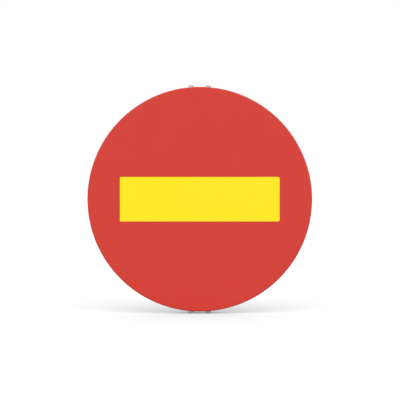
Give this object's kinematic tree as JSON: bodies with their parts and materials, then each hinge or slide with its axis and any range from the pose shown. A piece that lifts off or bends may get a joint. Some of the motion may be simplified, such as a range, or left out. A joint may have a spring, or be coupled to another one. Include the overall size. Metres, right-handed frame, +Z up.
{
  "type": "no entry sign",
  "caption": "Round red no entry sign with a yellow bar, a folded aluminium rim and cast clamps that hook over the rim and grip a round post.",
  "frame": {"origin": "on the axis of the post that the clamps grip, at half the height of the sign", "axes": "+Z up along the post; the sign faces -Y; +X is to the right seen from the front"},
  "size_m": [0.601, 0.093, 0.612],
  "materials": {
    "sheet_aluminium": "bare rolled sheet, satin",
    "yellow_film": "smooth reflective film",
    "red_film": "smooth reflective film",
    "cast_aluminium": "as cast, tumbled, fine grain",
    "zinc_steel": "bright zinc plating"
  },
  "bodies": {
    "root": {"sign_plate": "sheet_aluminium", "base_sheeting": "yellow_film", "red_overlay": "red_film", "clamp_saddle_top": "cast_aluminium", "clamp_saddle_bottom": "cast_aluminium", "clamp_cap_top": "cast_aluminium", "clamp_cap_bottom": "cast_aluminium", "bolt_top_left": "zinc_steel", "bolt_top_right": "zinc_steel", "bolt_bottom_left": "zinc_steel", "bolt_bottom_right": "zinc_steel", "washer_top_left": "zinc_steel", "washer_top_right": "zinc_steel", "washer_bottom_left": "zinc_steel", "washer_bottom_right": "zinc_steel", "nut_top_left": "zinc_steel", "nut_top_right": "zinc_steel", "nut_bottom_left": "zinc_steel", "nut_bottom_right": "zinc_steel"}
  },
  "joints": []
}
